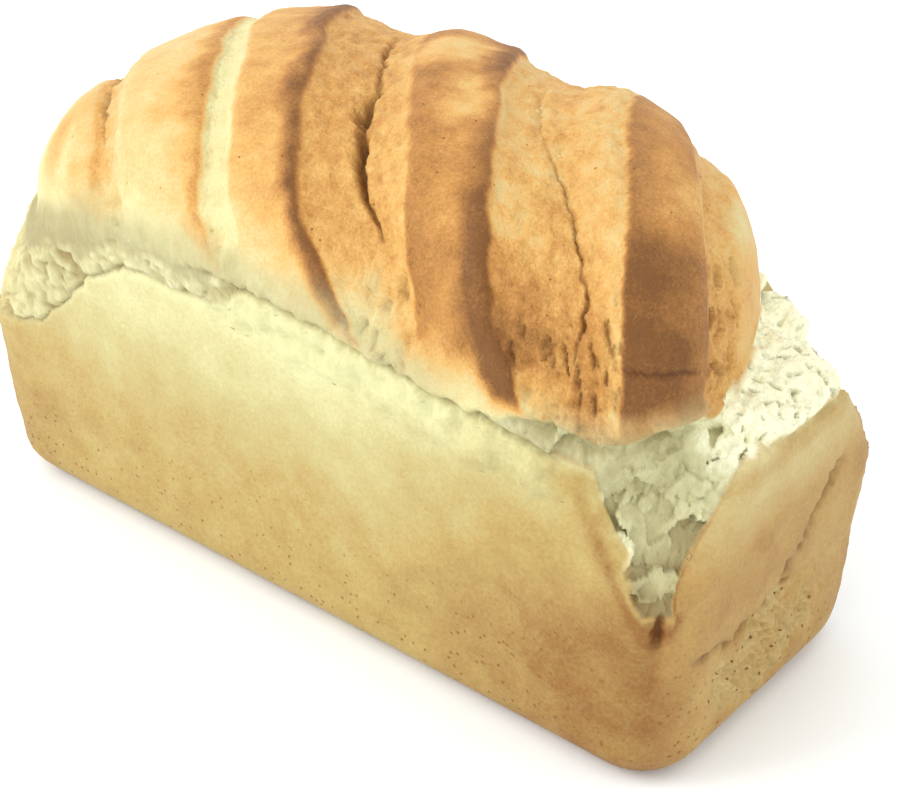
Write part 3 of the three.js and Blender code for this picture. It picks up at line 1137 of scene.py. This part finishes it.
def wall_colour(tree, places, colours):
    mottle = uneven(tree, places.object, 13, 0.42, 6, 0.68)
    grain = uneven(tree, places.object, 1.2, 0.38, 3, 0.7)
    pores = multiplied(tree, spots(tree, places.object, 3.2, 0.2), attribute(tree, "pitted"), 0.8)
    tone = added(tree, attribute(tree, "wall_tone"), mottle, grain, pores)
    ramp = colour_ramp(tree, tone, (
        (0.0, colours.wall_cream), (0.3, colours.wall_straw), (0.6, colours.wall_tan),
        (1.0, colours.wall_brown),
    ))
    tinted = add_node(
        tree, "ShaderNodeMix", {0: attribute(tree, "end_wall"), 6: ramp, 7: (*colours.end_tint, 1)},
        data_type="RGBA", blend_type="MULTIPLY",
    )
    return tinted.outputs[2]


def crumb_colour(tree, places, colours):
    torn_tone = attribute(tree, "crumb_tone")
    shreds = uneven(tree, places.shreds, 2.4, 1.0, 4, 0.7)
    tone = added(tree, torn_tone, multiplied(tree, shreds, torn_tone))
    return colour_ramp(tree, tone, (
        (0.0, colours.pit_shade), (0.4, colours.crumb_shade), (0.65, colours.crumb),
        (1.0, colours.crumb_light),
    ))


def surface_height(tree, places, fine_lines):
    """Fine relief in mm: crust grain, pores and crumb texture where it is torn."""
    grain = uneven(tree, places.object, 2.4, 0.5, 5, 0.62)
    fibres = uneven(tree, places.fibres, 4.0, 1.3, 4, 0.65)
    fibres = multiplied(tree, fibres, attribute(tree, "strip"))
    crumb = uneven(tree, places.shreds, 2.4, 1.3, 4, 0.7)
    crumb = multiplied(tree, crumb, attribute(tree, "torn"), attribute(tree, "crumb_tone"))
    pores = multiplied(tree, spots(tree, places.object, 3.2, 0.2), attribute(tree, "pitted"), -0.5)
    lines = multiplied(tree, fine_lines, -0.15)
    return added(tree, grain, fibres, crumb, pores, lines)


def make_crust_material(colours):
    material = bpy.data.materials.new("baked_crust")
    material.use_nodes = True
    tree = material.node_tree
    tree.nodes.clear()
    on_object = add_node(tree, "ShaderNodeTexCoord").outputs["Object"]
    inputs = {"Vector": on_object, "Scale": (1, 0.45, 0.45)}
    places = SimpleNamespace(
        object=on_object,
        fibres=attribute(tree, "along_slash", "Vector"),
        shreds=add_node(tree, "ShaderNodeMapping", inputs).outputs["Vector"],
    )
    top_tone = attribute(tree, "top_tone")
    well_baked = step_between(tree, top_tone, 0.45, 0.75)
    fine_lines = multiplied(tree, crackle(tree, places.object, 2.8), well_baked)
    baked = mix_colours(
        tree, attribute(tree, "wall"), top_colour(tree, places, colours, fine_lines),
        wall_colour(tree, places, colours),
    )
    # Mixes in the crumb colour: on the torn crumb, and as the painted shade at the lobes' foot.
    torn = attribute(tree, "torn")
    base = mix_colours(tree, torn, baked, crumb_colour(tree, places, colours))
    # Painted shade darkens the cracks, slits, tears, the slot, the crease and the break line.
    crack_shade = multiplied(tree, attribute(tree, "crack_shade"), 0.85)
    base = mix_colours(tree, crack_shade, base, (*colours.crack_shade, 1))
    height = surface_height(tree, places, fine_lines)
    relief = add_node(tree, "ShaderNodeBump", {"Height": height, "Distance": MM, "Strength": 1.0})
    uneven_gloss = uneven(tree, places.object, 6, 0.2)
    roughness = added(tree, multiplied(tree, torn, 0.2), uneven_gloss, 0.62)
    shader = add_node(tree, "ShaderNodeBsdfPrincipled", {
        "Base Color": base, "Roughness": roughness, "Normal": relief.outputs["Normal"],
        "Specular IOR Level": 0.3,
    })
    add_node(tree, "ShaderNodeOutputMaterial", {"Surface": shader.outputs["BSDF"]})
    return material


# ---- Operators ----
class LOAF_OT_make_loaf(Operator):
    """Model the loaf with its slashed top crust, tin-baked walls and torn corners"""

    bl_idname = "loaf.make_loaf"
    bl_label = "Make Loaf"

    def execute(self, context):
        sizes = read_sizes(context.scene)
        bm = make_cube_grid(sizes)
        skin = shape_loaf(bm, sizes)
        mesh = bpy.data.meshes.new("tin_loaf")
        bm.to_mesh(mesh)
        bm.free()
        brown_loaf(mesh, skin)
        bm = bmesh.new()
        bm.from_mesh(mesh)
        flatten_base(bm)
        bm.to_mesh(mesh)
        bm.free()
        mesh.shade_smooth()
        loaf = bpy.data.objects.new("tin_loaf", mesh)
        context.scene.collection.objects.link(loaf)
        mesh.materials.append(make_crust_material(context.scene.loaf_colours))
        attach(loaf, "root")
        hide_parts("loaf")
        return {"FINISHED"}


class LOAF_OT_make_studio(Operator):
    """Lay a plain pale floor and set up soft light and the camera"""

    bl_idname = "loaf.make_studio"
    bl_label = "Make Studio"

    def execute(self, context):
        look = context.scene.studio_look
        self.make_floor(context, look)
        self.make_light(context, look)
        self.make_camera(context)
        context.scene.view_settings.view_transform = "Standard"
        return {"FINISHED"}

    @staticmethod
    def make_floor(context, look):
        bm = bmesh.new()
        bmesh.ops.create_grid(bm, x_segments=8, y_segments=8, size=FLOOR_HALF)
        mesh = bpy.data.meshes.new("floor")
        bm.to_mesh(mesh)
        bm.free()
        material = bpy.data.materials.new("pale_floor")
        material.use_nodes = True
        shader = material.node_tree.nodes["Principled BSDF"]
        shader.inputs["Base Color"].default_value = (*look.floor_colour, 1)
        shader.inputs["Roughness"].default_value = 0.9
        mesh.materials.append(material)
        floor = bpy.data.objects.new("floor", mesh)
        context.scene.collection.objects.link(floor)

    @staticmethod
    def make_light(context, look):
        world = bpy.data.worlds.new("studio")
        world.use_nodes = True
        background = world.node_tree.nodes["Background"]
        background.inputs["Color"].default_value = (1, 1, 1, 1)
        background.inputs["Strength"].default_value = look.ambient
        context.scene.world = world
        light = bpy.data.lights.new("key", "AREA")
        light.shape = "DISK"
        light.size = LAMP.width
        light.energy = look.key_power
        key = bpy.data.objects.new("key", light)
        key.location = LAMP.place
        aim = Vector(LAMP.aim) - key.location
        key.rotation_euler = aim.to_track_quat("-Z", "Y").to_euler()
        context.scene.collection.objects.link(key)

    @staticmethod
    def make_camera(context):
        azimuth = math.radians(CAMERA.azimuth)
        elevation = math.radians(CAMERA.elevation)
        target = Vector(CAMERA.target) * MM
        away = Vector((
            math.sin(azimuth) * math.cos(elevation),
            -math.cos(azimuth) * math.cos(elevation),
            math.sin(elevation),
        ))
        data = bpy.data.cameras.new("camera")
        data.sensor_fit = "HORIZONTAL"
        data.sensor_width = CAMERA.sensor
        data.lens = CAMERA.lens
        camera = bpy.data.objects.new("camera", data)
        camera.location = target + away * CAMERA.distance * MM
        camera.rotation_euler = (-away).to_track_quat("-Z", "Y").to_euler()
        context.scene.collection.objects.link(camera)
        context.scene.camera = camera


class LOAF_PT_panel(Panel):
    """Lists the loaf's operators and settings"""

    bl_idname = "LOAF_PT_panel"
    bl_label = "Tin Loaf"
    bl_space_type = "VIEW_3D"
    bl_region_type = "UI"
    bl_category = "Loaf"

    def draw(self, context):
        layout = self.layout
        for operator in (LOAF_OT_make_loaf, LOAF_OT_make_studio):
            layout.operator(operator.bl_idname)
        for name in GROUPS:
            group = getattr(context.scene, name)
            column = layout.column(align=True)
            for key in group.__annotations__:
                column.prop(group, key)


GROUPS = {"loaf_sizes": LoafSizes, "loaf_colours": LoafColours, "studio_look": StudioLook}
CLASSES = (*GROUPS.values(), LOAF_OT_make_loaf, LOAF_OT_make_studio, LOAF_PT_panel)


def register():
    for cls in CLASSES:
        bpy.utils.register_class(cls)
    for name, group in GROUPS.items():
        setattr(bpy.types.Scene, name, PointerProperty(type=group))


def unregister():
    for name in GROUPS:
        delattr(bpy.types.Scene, name)
    for cls in reversed(CLASSES):
        bpy.utils.unregister_class(cls)


def main():
    register()
    bpy.ops.loaf.make_loaf()
    bpy.ops.loaf.make_studio()


if __name__ == "__main__":
    main()
